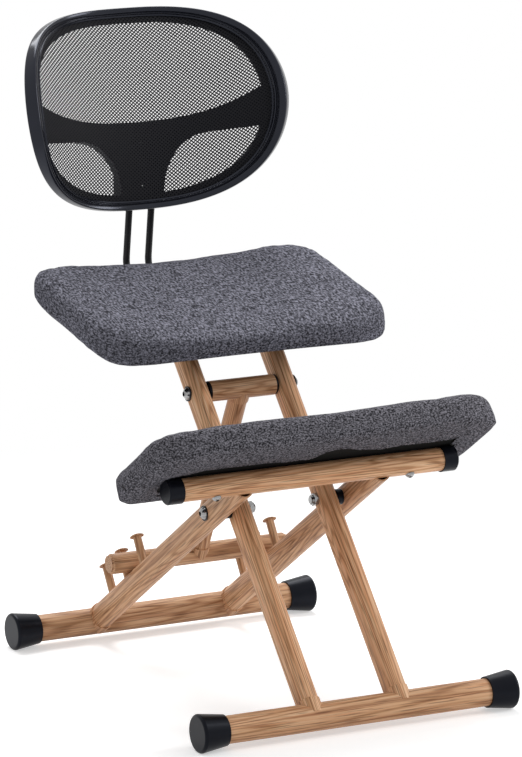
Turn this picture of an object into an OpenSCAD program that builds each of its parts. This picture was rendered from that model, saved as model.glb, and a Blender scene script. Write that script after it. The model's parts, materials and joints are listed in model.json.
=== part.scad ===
// Kneeling chair with a crossed tube frame, a tilted seat, a knee pad and a mesh backrest.
// X runs across the chair, Y towards the backrest, Z up. Sizes are in millimetres.

/* [Base] */
// Distance between the front and rear foot tube axes
base_length = 584; // [500:1:680]
// Length of each foot over its end caps
foot_length = 480; // [400:2:560]
// Outer diameter of the foot tubes
foot_d = 38; // [32:0.5:45]
// Wall of every steel tube
tube_wall = 2; // [1.2:0.1:3]
// Diameter of a foot cap at its outer end
foot_cap_d = 53.2; // [48:0.2:60]
// Diameter of a foot cap at its inner lip
foot_cap_lip_d = 43; // [41:0.5:48]
// Length of a foot cap
foot_cap_length = 40; // [30:1:60]
// Depth of the flat moulded under each foot cap
foot_flat = 0.6; // [0.2:0.1:1.5]

/* [Legs] */
// Width of the flat oval leg tube across the chair
leg_w = 28; // [22:0.5:34]
// Height of the flat oval leg tube in the side view
leg_h = 37; // [32:0.5:42]
// Distance between the two long legs, centre to centre
long_leg_gauge = 134.4; // [110:0.2:160]
// Distance between the two rear legs, centre to centre
rear_leg_gauge = 210; // [190:0.5:250]
// Distance of the frame pivot behind the front foot
pivot_y = 215; // [180:1:250]
// Height of the frame pivot above the floor
pivot_z = 266; // [230:1:300]
// Run of a long leg from the front foot to the underside of the seat
seat_run = 618; // [580:1:650]
// Height of the weld bead where a tube meets another
weld = 3; // [1.5:0.5:5]

/* [Knee tube and pad] */
// Distance from the frame pivot up the rear leg to the knee tube
knee_run = 102.5; // [95:0.5:130]
// Outer diameter of the knee tube
knee_tube_d = 32; // [28:0.5:36]
// Lift of the knee tube above the rear leg axis
knee_lift = 3; // [2:0.5:6]
// Length of the knee tube over its caps
knee_tube_length = 442; // [380:2:480]
// Outer diameter of a knee tube cap
knee_cap_d = 35.5; // [33:0.5:40]
// Visible length of a knee tube cap
knee_cap_length = 22; // [14:1:32]
// Distance between the two bolts that hold the knee pad
knee_bolt_gauge = 296; // [240:2:340]
// Width of the knee pad
knee_pad_w = 522; // [440:2:540]
// Depth of the knee pad along its slope
knee_pad_d = 214; // [180:1:220]
// Forward shift of the pad centre from the knee tube
knee_pad_shift = 8.5; // [5:0.5:40]
// Height of the knee pad at its edge
knee_pad_h = 36; // [28:1:48]
// Rise of the knee pad from its edge to its middle
knee_pad_crown = 8; // [2:0.5:16]
// Draw of the knee pad's front side towards its middle
knee_waist_front = 2; // [0:0.5:10]
// Draw of the knee pad's rear side towards its middle, which clears the long legs
knee_waist_rear = 20; // [19:0.5:26]

/* [Seat] */
// Forward slope of the seat
seat_tilt = 10.8; // [0:0.2:20]
// Distance of the seat centre behind the tops of the long legs
seat_set_back = 24; // [10:1:50]
// Width of the seat
seat_w = 474; // [380:2:500]
// Depth of the seat
seat_d = 324; // [280:2:350]
// Height of the seat at its edge
seat_h = 29; // [24:1:50]
// Rise of the seat from its edge to its middle
seat_crown = 5; // [2:0.5:16]
// Rise of the seat ends above the middle
seat_dish = 15; // [0:0.5:20]
// Sag of the seat's front corners
seat_sag = 11; // [0:0.5:14]
// Draw of the seat's front side towards the middle
seat_waist_front = 5; // [0:0.5:12]
// Draw of the seat's rear side towards the middle
seat_waist_rear = 9; // [0:0.5:14]
// Draw of the seat's ends towards the middle
seat_waist_ends = 15; // [0:0.5:20]
// Thickness of the plywood boards in both pads
board_t = 10; // [8:1:15]
// Width of the hem that holds each board
hem_w = 16; // [15:1:22]

/* [Strut and pegs] */
// Distance from the frame pivot up the long leg to the strut sleeve
sleeve_run = 185.5; // [160:0.5:210]
// Outer diameter of the strut sleeve and the crossbar
bar_d = 29; // [25:0.5:32]
// Outer diameter of the strut post
post_d = 27; // [22:0.5:30]
// Length of the strut crossbar over its end plugs
crossbar_length = 280; // [260:1:320]
// Distance from the frame pivot down the rear leg to the first peg
first_peg_run = 246.5; // [235:0.5:260]
// Distance between pegs along the rear leg
peg_pitch = 59.6; // [56:0.2:64]
// Diameter of a peg
peg_d = 12; // [10:0.5:13]
// Height of a peg over its head
peg_h = 42; // [36:1:46]
// Diameter of a peg head
peg_head_d = 20; // [17:0.5:22]
// Thickness of a peg head
peg_head_t = 4; // [2:0.5:6]

/* [Backrest] */
// Distance of the backrest centre behind the front foot
back_y = 656; // [620:0.5:700]
// Height of the backrest centre above the floor
back_z = 752; // [700:0.5:800]
// Backward lean of the backrest
back_tilt = 15.2; // [8:0.2:22]
// Radius of the backrest's hollow, seen from above
back_radius = 320; // [260:5:500]
// Radius of the backrest's lumbar swell, seen from the side
lumbar_radius = 450; // [380:5:800]
// Width of the backrest along its curve
back_w = 443; // [380:1:480]
// Height of the backrest along its curve
back_h = 290; // [250:1:330]
// Width of the rim at its top and bottom
rim_w = 11; // [10:0.5:18]
// Width of the rim at its sides
rim_side_w = 19; // [12:0.5:24]
// Depth of the rim of the backrest
rim_depth = 11; // [9:0.5:14]
// Forward swell of the rim at its sides
rim_lip = 9; // [0:0.5:12]
// Width of the mesh window inside the frame
window_w = 372; // [300:2:376]
// Height of the mesh window inside the frame
window_h = 246; // [200:2:250]
// Depth of the stem of the moulded back frame
back_frame_t = 16; // [14:0.5:20]
// Depth of the ring and the arms of the back frame
back_ring_t = 4; // [3:0.5:5]
// Thickness of the mesh
mesh_t = 1; // [0.6:0.1:1.5]
// Diameter of the two rods that carry the backrest
rod_d = 10; // [8:0.5:12]
// Distance between the rods
rod_gauge = 35; // [28:1:50]
// Forward lean of the rods below the backrest
rod_lean = 8; // [2:0.5:10]
// Bend radius of the rods
rod_bend = 26; // [25:1:60]

/* [Fasteners] */
// Diameter of the pivot and sleeve bolts
bolt_d = 10; // [8:0.5:12]
// Diameter of a domed bolt head
bolt_head_d = 17; // [14:0.5:20]
// Height of a domed bolt head
bolt_head_h = 6; // [4:0.5:8]
// Key size of the hexagon sockets
socket_af = 6; // [4:0.5:8]
// Diameter of the knee pad bolts
pad_bolt_d = 8; // [6:0.5:10]
// Diameter of the small screws
screw_d = 5; // [4:0.5:6]

/* [Hidden] */
// Clearance of turning fits, of seated pieces and of soft pieces
run_gap = 0.05;
seat_gap = 0.1;
soft_gap = 0.3;
washer_t = 1.5;
washer_d = bolt_head_d + 4;
nut_af = 16;
nut_h = 8;
cover_t = 0.8;
cover_inset = hem_w + 1;
flange_t = 3;
rail_l = 190;
rail_w = 30;
rail_t = 4;
clamp_l = 56;
clamp_h = 15;
clamp_w = rod_gauge + rod_d + 24;
bracket_w = rod_gauge + rod_d + 18;
bracket_h = 95;
bracket_d = 22;
rod_socket = 40;
// The straight runs of a rod reach a little into its bends, in which they fit closely
rod_overlap = 0.5;
rod_step = 0.1;
// End plates of the caps and plugs, and how far the plugs reach into the crossbar
plug_t = 4;
plug_reach = 12;
plug_chamfer = 3.5;
// Length of a bush in the sleeve, and the step of its flange below the sleeve's surface
bush_l = 14;
bush_step = 0.5;
// Heads of the small screws, and the wood left over their tips
screw_head_h = 3;
screw_cover = 1;
clamp_screw_inset = 12;
// How far a bolt stands out of its nut, and the collar of the nut
bolt_tip = 2;
nut_collar = 2;
spacer_d = 2 * bolt_d + 2;
// Knee pad bolts, a size smaller than the pivot bolts
pad_bolt_head_d = bolt_head_d - 4;
pad_bolt_head_h = bolt_head_h - 1;
pad_socket_af = socket_af - 1;
// Overlap of two halves that make one piece
joint_overlap = 0.01;
// Height over the knee tube at which the knee pad rests on the flats of its caps
knee_seat = 0.6;

foot_z = foot_cap_d / 2 - foot_flat;
long_angle = atan2(pivot_z - foot_z, pivot_y);
rear_angle = atan2(pivot_z - foot_z, base_length - pivot_y);
rear_leg_pivot = norm([base_length - pivot_y, pivot_z - foot_z]);
long_x = long_leg_gauge / 2;
rear_x = rear_leg_gauge / 2;
spacer_l = rear_x - long_x - leg_w - 2 * soft_gap;

// A point at a run along a rear leg from the pivot (down is positive) and a rise square to it
function on_rear_leg(run, rise) = [
    pivot_y + run * cos(rear_angle) + rise * sin(rear_angle),
    pivot_z - run * sin(rear_angle) + rise * cos(rear_angle)];

knee_at = on_rear_leg(-knee_run, knee_lift);
sleeve_at = [pivot_y + sleeve_run * cos(long_angle), pivot_z + sleeve_run * sin(long_angle)];
second_peg_run = first_peg_run + peg_pitch;
bar_run = second_peg_run - peg_d / 2 - bar_d / 2 - soft_gap;
bar_at = on_rear_leg(bar_run, leg_h / 2 + bar_d / 2 + soft_gap);
post_angle = atan2(bar_at.x - sleeve_at.x, sleeve_at.y - bar_at.y);
post_run = norm(bar_at - sleeve_at);
sleeve_l = 2 * (long_x - leg_w / 2 - flange_t - soft_gap);
seat_at = [
    seat_run * cos(long_angle) + seat_set_back * cos(seat_tilt),
    foot_z + seat_run * sin(long_angle) + seat_set_back * sin(seat_tilt)];

// Local heights under the seat, measured square to its underside
rail_z = -cover_t - soft_gap - seat_gap - rail_t;
clamp_z = -cover_t - soft_gap - seat_gap - clamp_h;
rod_z = clamp_z + clamp_h / 2;
clamp_y = seat_d / 2 - seat_waist_rear - 2 * hem_w - clamp_l;

// Distances of the layers behind the middle of the rim
mesh_w = 1.5;
frame_w = mesh_w + mesh_t + soft_gap;
frame_back_w = frame_w + back_frame_t;

// The rods run back under the seat, turn up, lean forward to the backrest and stand upright in its frame
rod_x = rod_gauge / 2;
rim_low = (rim_w - back_h) / 2;
bracket_z = back_z - (back_h / 2 - rim_w - 2) * cos(back_tilt);
rod_top_z = bracket_z + rod_socket;
rod_top_v = (rod_top_z - back_z) / cos(back_tilt);
// The rods stand in sockets in the middle of the depth of the frame
frame_mid_w = (frame_w + frame_back_w) / 2;
upright_y = back_place_y(back_point(0, (rim_low + rod_top_v) / 2, frame_mid_w));
rod_start = [
    seat_at.x + clamp_y * cos(seat_tilt) - rod_z * sin(seat_tilt),
    seat_at.y + clamp_y * sin(seat_tilt) + rod_z * cos(seat_tilt)];
rod_low_z = back_z + rim_low * cos(back_tilt) - rim_w;
// Straight runs of a rod: held in the clamp, level behind it, leaning up to the backrest
rod_held = clamp_l + 2;
rod_lean_run = (rod_low_z - rod_start.y - rod_held * sin(seat_tilt)
    - rod_bend * (2 - cos(seat_tilt) + 2 * sin(rod_lean))) / cos(rod_lean);
rod_level_run = upright_y - rod_start.x - rod_held * cos(seat_tilt) + rod_lean_run * sin(rod_lean)
    + rod_bend * (1 - sin(seat_tilt) - 2 * cos(rod_lean));
screw_v = [-46, -109];

// Backrest outline: a rounded oval, fuller at its ends than an ellipse
end_fullness = 2.65;
top_fullness = 1.95;
outline_steps = 72;
function oval(w, h, a) = [
    w / 2 * sign(cos(a)) * pow(abs(cos(a)), 2 / end_fullness),
    h / 2 * sign(sin(a)) * pow(abs(sin(a)), 2 / top_fullness)];
function swell(v) = lumbar_radius - sqrt(pow(lumbar_radius, 2) - v * v);
// A point of the back surface: u along the curve, v up, w behind the surface
function back_point(u, v, w) =
    let (a = u / back_radius * 180 / PI, r = back_radius + swell(v) + w)
    [r * sin(a), r * cos(a) - back_radius, v];
function frame_x(u, v) = back_point(u, v, frame_w).x;
function back_place_y(p) = back_y + p.y * cos(back_tilt) + p.z * sin(back_tilt);

// Sections of the round rim, square to its path
rim_sides = 10;
function unit(v) = v / norm(v);
function rim_at(a) = rim_w + (rim_side_w - rim_w) * pow(cos(a), 2);
function back_inset(inset, a) = oval(back_w - 2 * inset, back_h - 2 * inset, a);
function rim_reach(a, b) = rim_depth / 2 + (sin(b) < 0 ? rim_lip * pow(cos(a), 2) : 0);
function rim_centre(a) =
    let (q = back_inset(rim_at(a) / 2, a))
    back_point(q.x, q.y, 0);
function rim_section(a) =
    let (c = rim_centre(a),
        along = unit(rim_centre(a + 2) - rim_centre(a - 2)),
        behind = unit([c.x, c.y + back_radius, 0]),
        out = unit(cross(along, behind)),
        deep = cross(out, along))
    [for (k = [0 : rim_sides - 1])
        let (b = (k + 0.5) * 360 / rim_sides)
        c + out * cos(b) * rim_at(a) / 2 + deep * sin(b) * rim_reach(a, b)];
rim_points = [for (i = [0 : outline_steps - 1])
    for (p = rim_section((i + 0.5) * 360 / outline_steps)) p];

// Middle of the whole chair along Y, so that the origin lies under its centre
rear_reach = max([for (p = rim_points) back_place_y(p)]);
mid_y = (rear_reach - foot_cap_d / 2) / 2;

wood = [0.55, 0.38, 0.25];
black = [0.06, 0.06, 0.07];
steel = [0.78, 0.78, 0.8];
cloth = [0.36, 0.36, 0.39];
ply = [0.72, 0.58, 0.4];

$fn = 64;

// Gives a sub-part its colour and moves it over the origin
module placed(shade) {
    color(shade)
        translate([0, -mid_y, 0])
            children();
}

// A rod along X with its middle at the given Y and Z
module across(at, d, l) {
    translate([0, at.x, at.y])
        rotate([0, 90, 0])
            cylinder(d = d, h = l, center = true);
}

module both_sides() {
    children();
    mirror([1, 0, 0])
        children();
}

// Foot tubes and caps

module foot_tube(y) {
    at = [y, foot_z];
    difference() {
        across(at, foot_d, foot_length - 2 * plug_t);
        across(at, foot_d - 2 * tube_wall, foot_length);
    }
}

// A flared cup that hugs the tube end, with a rounded rim and a flat where it stands
module foot_cap(y) {
    r_out = foot_cap_d / 2;
    r_lip = foot_cap_lip_d / 2;
    edge = 4;
    intersection() {
        translate([-foot_length / 2, y, foot_z])
            rotate([0, 90, 0])
                rotate_extrude()
                    difference() {
                        union() {
                            polygon([[0, 0], [r_out - edge, 0], [r_out, edge],
                                [r_lip, foot_cap_length], [0, foot_cap_length]]);
                            translate([r_out - edge, edge])
                                circle(r = edge);
                        }
                        translate([0, plug_t - seat_gap])
                            square([foot_d / 2 + seat_gap, foot_length]);
                        translate([-foot_d, -foot_d])
                            square([foot_d, foot_length]);
                    }
        translate([-foot_length, y - foot_cap_d, 0])
            cube([foot_length, 2 * foot_cap_d, 2 * foot_cap_d]);
    }
}

// Legs

module flat_oval(w, h) {
    square([w, h - w], center = true);
    for (side = [-1, 1])
        translate([0, side * (h - w) / 2])
            circle(d = w);
}

// A hollow leg with a weld bead where it stands on its foot tube
module leg_tube(l) {
    difference() {
        union() {
            linear_extrude(l)
                flat_oval(leg_w, leg_h);
            linear_extrude(foot_d / 2 + weld)
                flat_oval(leg_w + weld, leg_h + weld);
        }
        translate([0, 0, -1])
            linear_extrude(l + 2)
                flat_oval(leg_w - 2 * tube_wall, leg_h - 2 * tube_wall);
    }
}

// A long leg stands on the front foot and ends square under the seat rail
module long_leg() {
    difference() {
        translate([-long_x, 0, foot_z])
            rotate([long_angle - 90, 0, 0])
                leg_tube(seat_run + leg_h);
        across([0, foot_z], foot_d + 2 * run_gap, foot_length);
        across([pivot_y, pivot_z], bolt_d + 2 * run_gap, foot_length);
        across(sleeve_at, bolt_d + 2 * run_gap, foot_length);
        seat_place()
            translate([-seat_w, -seat_d, rail_z - run_gap])
                cube([2 * seat_w, 2 * seat_d, seat_d]);
    }
}

// A rear leg joins the rear foot to the knee tube
module rear_leg() {
    difference() {
        translate([-rear_x, base_length, foot_z])
            rotate([90 - rear_angle, 0, 0])
                leg_tube(rear_leg_pivot + knee_run);
        across([base_length, foot_z], foot_d + 2 * run_gap, foot_length);
        across([pivot_y, pivot_z], bolt_d + 2 * run_gap, foot_length);
        across(knee_at, knee_tube_d + 2 * run_gap, foot_length);
    }
}

// Three mushroom pegs on the upper face of a rear leg
module pegs() {
    for (i = [0 : 2]) {
        foot = on_rear_leg(first_peg_run + i * peg_pitch, 0);
        difference() {
            translate([-rear_x, foot.x, foot.y])
                rotate([-rear_angle, 0, 0])
                    union() {
                        cylinder(d = peg_d, h = leg_h / 2 + peg_h - peg_head_t);
                        translate([0, 0, leg_h / 2 + peg_h - peg_head_t])
                            intersection() {
                                cylinder(d = peg_head_d, h = peg_head_t);
                                translate([0, 0, peg_head_t - peg_head_d])
                                    sphere(r = peg_head_d);
                            }
                    }
            translate([-rear_x, base_length, foot_z])
                rotate([90 - rear_angle, 0, 0])
                    linear_extrude(rear_leg_pivot)
                        flat_oval(leg_w + 2 * run_gap, leg_h + 2 * run_gap);
        }
    }
}

// Knee tube and pad

module knee_place() {
    translate([0, knee_at.x, knee_at.y])
        rotate([-rear_angle, 0, 0])
            children();
}

module knee_bolt_holes(d) {
    knee_place()
        for (side = [-1, 1])
            translate([side * knee_bolt_gauge / 2, 0, -knee_tube_d])
                cylinder(d = d, h = 3 * knee_tube_d);
}

module knee_tube() {
    placed(wood)
        difference() {
            across(knee_at, knee_tube_d, knee_tube_length - 2 * plug_t);
            across(knee_at, knee_tube_d - 2 * tube_wall, knee_tube_length);
            knee_bolt_holes(pad_bolt_d + 2 * seat_gap);
        }
}

module knee_tube_cap() {
    r = knee_cap_d / 2;
    edge = 2;
    translate([-knee_tube_length / 2, knee_at.x, knee_at.y])
        rotate([0, 90, 0])
            difference() {
                rotate_extrude()
                    polygon([[0, 0], [r - edge, 0], [r, edge], [r, knee_cap_length], [0, knee_cap_length]]);
                translate([0, 0, plug_t - seat_gap])
                    cylinder(d = knee_tube_d + 2 * seat_gap, h = knee_tube_length);
                rotate([0, -90, 0])
                    rotate([-rear_angle, 0, 0])
                        translate([-knee_cap_length, -knee_cap_d, knee_tube_d / 2 + knee_seat - seat_gap])
                            cube([3 * knee_cap_length, 2 * knee_cap_d, knee_cap_d]);
            }
}

module domed_bolt(shank_d, shank_l, head_d, head_h, af) {
    dome_r = (pow(head_d / 2, 2) + head_h * head_h) / (2 * head_h);
    difference() {
        union() {
            cylinder(d = shank_d, h = shank_l);
            intersection() {
                translate([0, 0, dome_r - head_h])
                    sphere(r = dome_r);
                translate([0, 0, -head_h])
                    cylinder(d = head_d, h = head_h);
            }
        }
        translate([0, 0, -head_h - 1])
            cylinder(d = af / cos(30), h = head_h, $fn = 6);
    }
}

module knee_bolts() {
    placed(steel)
        knee_place()
            for (side = [-1, 1])
                translate([side * knee_bolt_gauge / 2, 0, -knee_tube_d / 2 - seat_gap])
                    domed_bolt(pad_bolt_d, knee_tube_d + cover_t + board_t, pad_bolt_head_d,
                        pad_bolt_head_h, pad_socket_af);
}

// Pads: one closed skin with a crown, drawn-in sides and a pocket for its board.
// The plan of a pad is [width, depth, draw of the front, the rear and the ends towards the middle].
// The edge of a pad is [height, inset of its lower edge, inset of its upper edge]

seat_plan = [seat_w, seat_d, seat_waist_front, seat_waist_rear, seat_waist_ends];
seat_edge = [seat_h, 14, 24];
knee_plan = [knee_pad_w, knee_pad_d, knee_waist_front, knee_waist_rear, 0];
knee_edge = [knee_pad_h, 5, 15];
squareness = 5;
pad_steps = 60;
function pad_outline(plan, inset, share, a) =
    let (k = pow(pow(abs(cos(a)), squareness) + pow(abs(sin(a)), squareness), -1 / squareness),
        q = [(plan[0] / 2 - inset) * cos(a), (plan[1] / 2 - inset) * sin(a)] * k * share,
        x = 2 * q.x / plan[0],
        y = 2 * q.y / plan[1])
    [q.x - plan[4] * x * (1 - y * y), q.y - (y > 0 ? plan[3] : plan[2]) * y * (1 - x * x)];

// Rings from the pocket, round the hem and the oval side, to the middle of the top,
// each with its inset, its height, its share of the outline and its share of the sag
widest = 0.42;
function pad_rings(edge, crown) = concat(
    [for (f = [0.5, 1]) [hem_w, board_t + soft_gap, f, 0]],
    [[hem_w, 0, 1, 0]],
    [for (t = [-90 : 18 : 90])
        [(t < 0 ? edge[1] : edge[2]) * (1 - cos(t)),
            edge[0] * (widest + (t < 0 ? widest : 1 - widest) * sin(t)), 1, t < 0 ? 1 : cos(t)]],
    [for (f = [0.85, 0.65, 0.45, 0.25]) [edge[2], edge[0] + crown * (1 - f * f), f, 0]]);

function pad_point(plan, h, dish, sag, ring, a) =
    let (q = pad_outline(plan, ring[0], ring[2], a),
        x = 2 * q.x / plan[0],
        ahead = max(0, -2 * q.y / plan[1]),
        raised = ring[2] < 1 && ring[1] < h ? 0 : ring[1] / h)
    [q.x, q.y, ring[1] + dish * x * x * raised - sag * ring[3] * pow(x, 4) * ahead];

module pad(plan, edge, crown, dish = 0, sag = 0) {
    h = edge[0];
    rings = pad_rings(edge, crown);
    n = len(rings);
    pocket_mid = [[0, 0, board_t + soft_gap]];
    top_mid = [[0, 0, h + crown]];
    skin = [for (r = rings) for (i = [0 : pad_steps - 1])
        pad_point(plan, h, dish, sag, r, i * 360 / pad_steps)];
    lower = n * pad_steps;
    upper = lower + 1;
    function at(r, i) = r * pad_steps + i % pad_steps;
    polyhedron(concat(skin, pocket_mid, top_mid), concat(
        [for (i = [0 : pad_steps - 1]) [lower, at(0, i), at(0, i + 1)]],
        [for (r = [0 : n - 2]) for (i = [0 : pad_steps - 1]) [at(r, i), at(r + 1, i), at(r + 1, i + 1)]],
        [for (r = [0 : n - 2]) for (i = [0 : pad_steps - 1]) [at(r, i), at(r + 1, i + 1), at(r, i + 1)]],
        [for (i = [0 : pad_steps - 1]) [upper, at(n - 1, i + 1), at(n - 1, i)]]), convexity = 6);
}

// A flat sheet with the outline of a pad, drawn in by a margin
module pad_sheet(plan, margin, t) {
    linear_extrude(t)
        polygon([for (i = [0 : pad_steps - 1]) pad_outline(plan, margin, 1, i * 360 / pad_steps)]);
}

module knee_pad_place() {
    knee_place()
        translate([0, -knee_pad_shift, knee_tube_d / 2 + knee_seat + cover_t + soft_gap])
            children();
}

module knee_board() {
    placed(ply)
        difference() {
            knee_pad_place()
                pad_sheet(knee_plan, hem_w + soft_gap, board_t);
            knee_bolt_holes(pad_bolt_d + 2 * run_gap);
        }
}

module knee_dust_cover() {
    placed(black)
        difference() {
            knee_pad_place()
                translate([0, 0, -cover_t - soft_gap])
                    pad_sheet(knee_plan, cover_inset, cover_t);
            knee_bolt_holes(pad_bolt_d + 2 * soft_gap);
        }
}

module knee_cushion() {
    placed(cloth)
        knee_pad_place()
            pad(knee_plan, knee_edge, knee_pad_crown);
}

// Seat

module seat_place() {
    translate([0, seat_at.x, seat_at.y])
        rotate([seat_tilt, 0, 0])
            children();
}

// Where the seat screws pass the rails, and the clamp screws the clamp
rail_screw_y = [-70, 70];
clamp_screw_y = [clamp_y + clamp_screw_inset, clamp_y + clamp_l - clamp_screw_inset];

module screw_holes(d) {
    seat_place() {
        for (side = [-1, 1], y = rail_screw_y)
            translate([side * long_x, y, -seat_d])
                cylinder(d = d, h = seat_d + board_t - screw_cover);
        for (y = clamp_screw_y)
            translate([0, y, -seat_d])
                cylinder(d = d, h = seat_d + board_t - screw_cover);
    }
}

module seat_rail() {
    difference() {
        seat_place()
            translate([-long_x - rail_w / 2, -rail_l / 2, rail_z])
                cube([rail_w, rail_l, rail_t]);
        screw_holes(screw_d + 2 * seat_gap);
    }
}

module screw(z) {
    translate([0, 0, z])
        domed_bolt(screw_d, -z + board_t - 2 * screw_cover, 2 * screw_d, screw_head_h, screw_d / 2);
}

module seat_screws() {
    placed(steel)
        seat_place()
            for (side = [-1, 1], y = rail_screw_y)
                translate([side * long_x, y, 0])
                    screw(rail_z - seat_gap);
}

module rod_clamp_screws() {
    placed(steel)
        seat_place()
            for (y = clamp_screw_y)
                translate([0, y, 0])
                    screw(clamp_z - seat_gap);
}

module seat_board() {
    placed(ply)
        difference() {
            seat_place()
                pad_sheet(seat_plan, hem_w + soft_gap, board_t);
            screw_holes(screw_d + 2 * run_gap);
        }
}

module seat_dust_cover() {
    placed(black)
        difference() {
            seat_place()
                translate([0, 0, -cover_t - soft_gap])
                    pad_sheet(seat_plan, cover_inset, cover_t);
            screw_holes(screw_d + 2 * soft_gap);
        }
}

module seat_cushion() {
    placed(cloth)
        seat_place()
            pad(seat_plan, seat_edge, seat_crown, seat_dish, seat_sag);
}

// Backrest

// Round rod along X with bends in the XY plane between its straight runs
module bent_rod(runs, turns, i = 0) {
    bend = i < len(turns) ? turns[i] : 0;
    side = bend < 0 ? 1 : 0;
    turn = abs(bend);
    translate([-rod_overlap, 0, 0])
        rotate([0, 90, 0])
            cylinder(d = rod_d - 2 * rod_step, h = runs[i] + (i < len(turns) ? 2 : 1) * rod_overlap);
    if (i < len(turns))
        translate([runs[i], 0, 0])
            mirror([0, side, 0]) {
                translate([0, rod_bend, 0])
                    rotate([0, 0, -90])
                        rotate_extrude(angle = turn)
                            translate([rod_bend, 0])
                                circle(d = rod_d);
                translate([rod_bend * sin(turn), rod_bend * (1 - cos(turn)), 0])
                    rotate([0, 0, turn])
                        mirror([0, side, 0])
                            bent_rod(runs, turns, i + 1);
            }
}

// Steel rod: held under the seat, level behind the clamp, up to the backrest, then upright in it
module back_rod() {
    translate([-rod_x, rod_start.x, rod_start.y])
        rotate([90, 0, 90])
            rotate([0, 0, seat_tilt])
                bent_rod([rod_held, rod_level_run, rod_lean_run, rod_top_z - rod_low_z],
                    [-seat_tilt, 90 + rod_lean, -rod_lean]);
}

module rod_clamp() {
    placed(black)
        difference() {
            seat_place()
                translate([-clamp_w / 2, clamp_y, clamp_z])
                    cube([clamp_w, clamp_l, clamp_h]);
            both_sides()
                translate([-rod_x, rod_start.x, rod_start.y])
                    rotate([seat_tilt - 90, 0, 0])
                        translate([0, 0, -clamp_l])
                            cylinder(d = rod_d + 2 * run_gap, h = 3 * clamp_l);
            screw_holes(screw_d + 2 * seat_gap);
        }
}

module back_place() {
    translate([0, back_y, back_z])
        rotate([-back_tilt, 0, 0])
            children();
}

// A layer of the curved back between two distances behind its front surface
module back_layer(from, to) {
    translate([0, -back_radius, 0])
        rotate([0, 0, 45])
            rotate_extrude(angle = 90, $fn = 360)
                intersection() {
                    difference() {
                        translate([back_radius + lumbar_radius, 0])
                            circle(r = lumbar_radius - from, $fn = 360);
                        translate([back_radius + lumbar_radius, 0])
                            circle(r = lumbar_radius - to, $fn = 360);
                    }
                    translate([back_radius / 2, -back_h])
                        square([back_radius, 2 * back_h]);
                }
}

module back_oval(w, h) {
    polygon([for (i = [0 : outline_steps - 1])
        let (q = oval(w, h, i * 360 / outline_steps))
        [frame_x(q.x, q.y), q.y]]);
}

// Edges of the moulded arms and stem that leave the three mesh windows open
arm_top = -21;
arm_rise = 34;
arm_bow = 2.6;
arm_foot = -44;
stem_w = 64;
stem_flare = 70;
// Width and top of the deep stem
deep_w = stem_w + 2 * stem_flare + 4;
deep_top = arm_top - 4;
half_window = window_w / 2;

module upper_window() {
    intersection() {
        back_oval(window_w, window_h);
        polygon(concat(
            [for (i = [-8 : 8])
                let (v = arm_top + arm_rise * pow(abs(i / 8), arm_bow))
                [frame_x(half_window * i / 8, v), v]],
            [[half_window, window_h], [-half_window, window_h]]));
    }
}

module lower_window() {
    intersection() {
        back_oval(window_w, window_h);
        polygon(concat(
            [for (a = [90 : -9 : 0])
                let (v = -window_h / 2 + (arm_foot + window_h / 2) * sin(a))
                [frame_x(-stem_w / 2 - stem_flare * (1 - cos(a)), v), v]],
            [[-half_window, -window_h / 2], [-half_window, arm_foot]]));
    }
}

// Outline of the frame, which reaches a little under the round of the rim at its sides
edge_gap = 0.5;
rim_lap = 1;
module frame_outline() {
    polygon([for (i = [0 : outline_steps - 1])
        let (a = (i + 0.5) * 360 / outline_steps,
            q = back_inset(rim_at(a) + edge_gap - rim_lap * pow(cos(a), 2), a))
        [frame_x(q.x, q.y), q.y]]);
}

// All of the frame but its deep stem
module beside_stem() {
    difference() {
        square([2 * back_w, 2 * back_h], center = true);
        translate([-deep_w / 2, -2 * back_h])
            square([deep_w, 2 * back_h + deep_top]);
    }
}

module back_frame() {
    placed(black)
        difference() {
            back_place()
                difference() {
                    intersection() {
                        back_layer(frame_w, frame_back_w);
                        rotate([90, 0, 0])
                            linear_extrude(2 * back_radius, center = true)
                                difference() {
                                    frame_outline();
                                    upper_window();
                                    both_sides()
                                        lower_window();
                                }
                    }
                    intersection() {
                        back_layer(frame_w + back_ring_t, frame_back_w + back_ring_t);
                        rotate([90, 0, 0])
                            linear_extrude(2 * back_radius, center = true)
                                beside_stem();
                    }
                    back_screw_solids(seat_gap);
                }
            both_sides()
                translate([-rod_x, upright_y, rod_low_z])
                    cylinder(d = rod_d + 2 * run_gap, h = rod_top_z - rod_low_z + seat_gap);
        }
}

// Flat-headed screws let into the front of the frame, and the bracket behind it
back_screw_d = screw_d - 1;
back_screw_head_d = 2 * screw_d - 1;
back_screw_head_t = 2;
back_screw_l = back_frame_t + bracket_d / 4;
back_screw_sink = 0.5;
function back_screw_start(v) = frame_w + swell(v) + back_screw_sink;

module back_screw_solids(gap) {
    for (v = screw_v)
        translate([0, back_screw_start(v) - gap, v])
            rotate([-90, 0, 0]) {
                cylinder(d = back_screw_head_d + 2 * gap, h = back_screw_head_t + gap);
                cylinder(d = back_screw_d + 2 * gap, h = back_screw_l + gap);
            }
}

module back_screws() {
    placed(steel)
        back_place()
            back_screw_solids(0);
}

// The cover from behind: square below, round at the top
module bracket_outline() {
    translate([-bracket_w / 2, 0])
        square([bracket_w, bracket_h - bracket_w / 2]);
    translate([0, bracket_h - bracket_w / 2])
        circle(d = bracket_w);
}

// The bracket is closed behind the tips of the screws
bracket_wall = 3;
screw_tips = [for (v = screw_v) back_place_y([0, back_screw_start(v) + back_screw_l, v])];
bracket_back_y = max(screw_tips) + bracket_wall;

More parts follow.
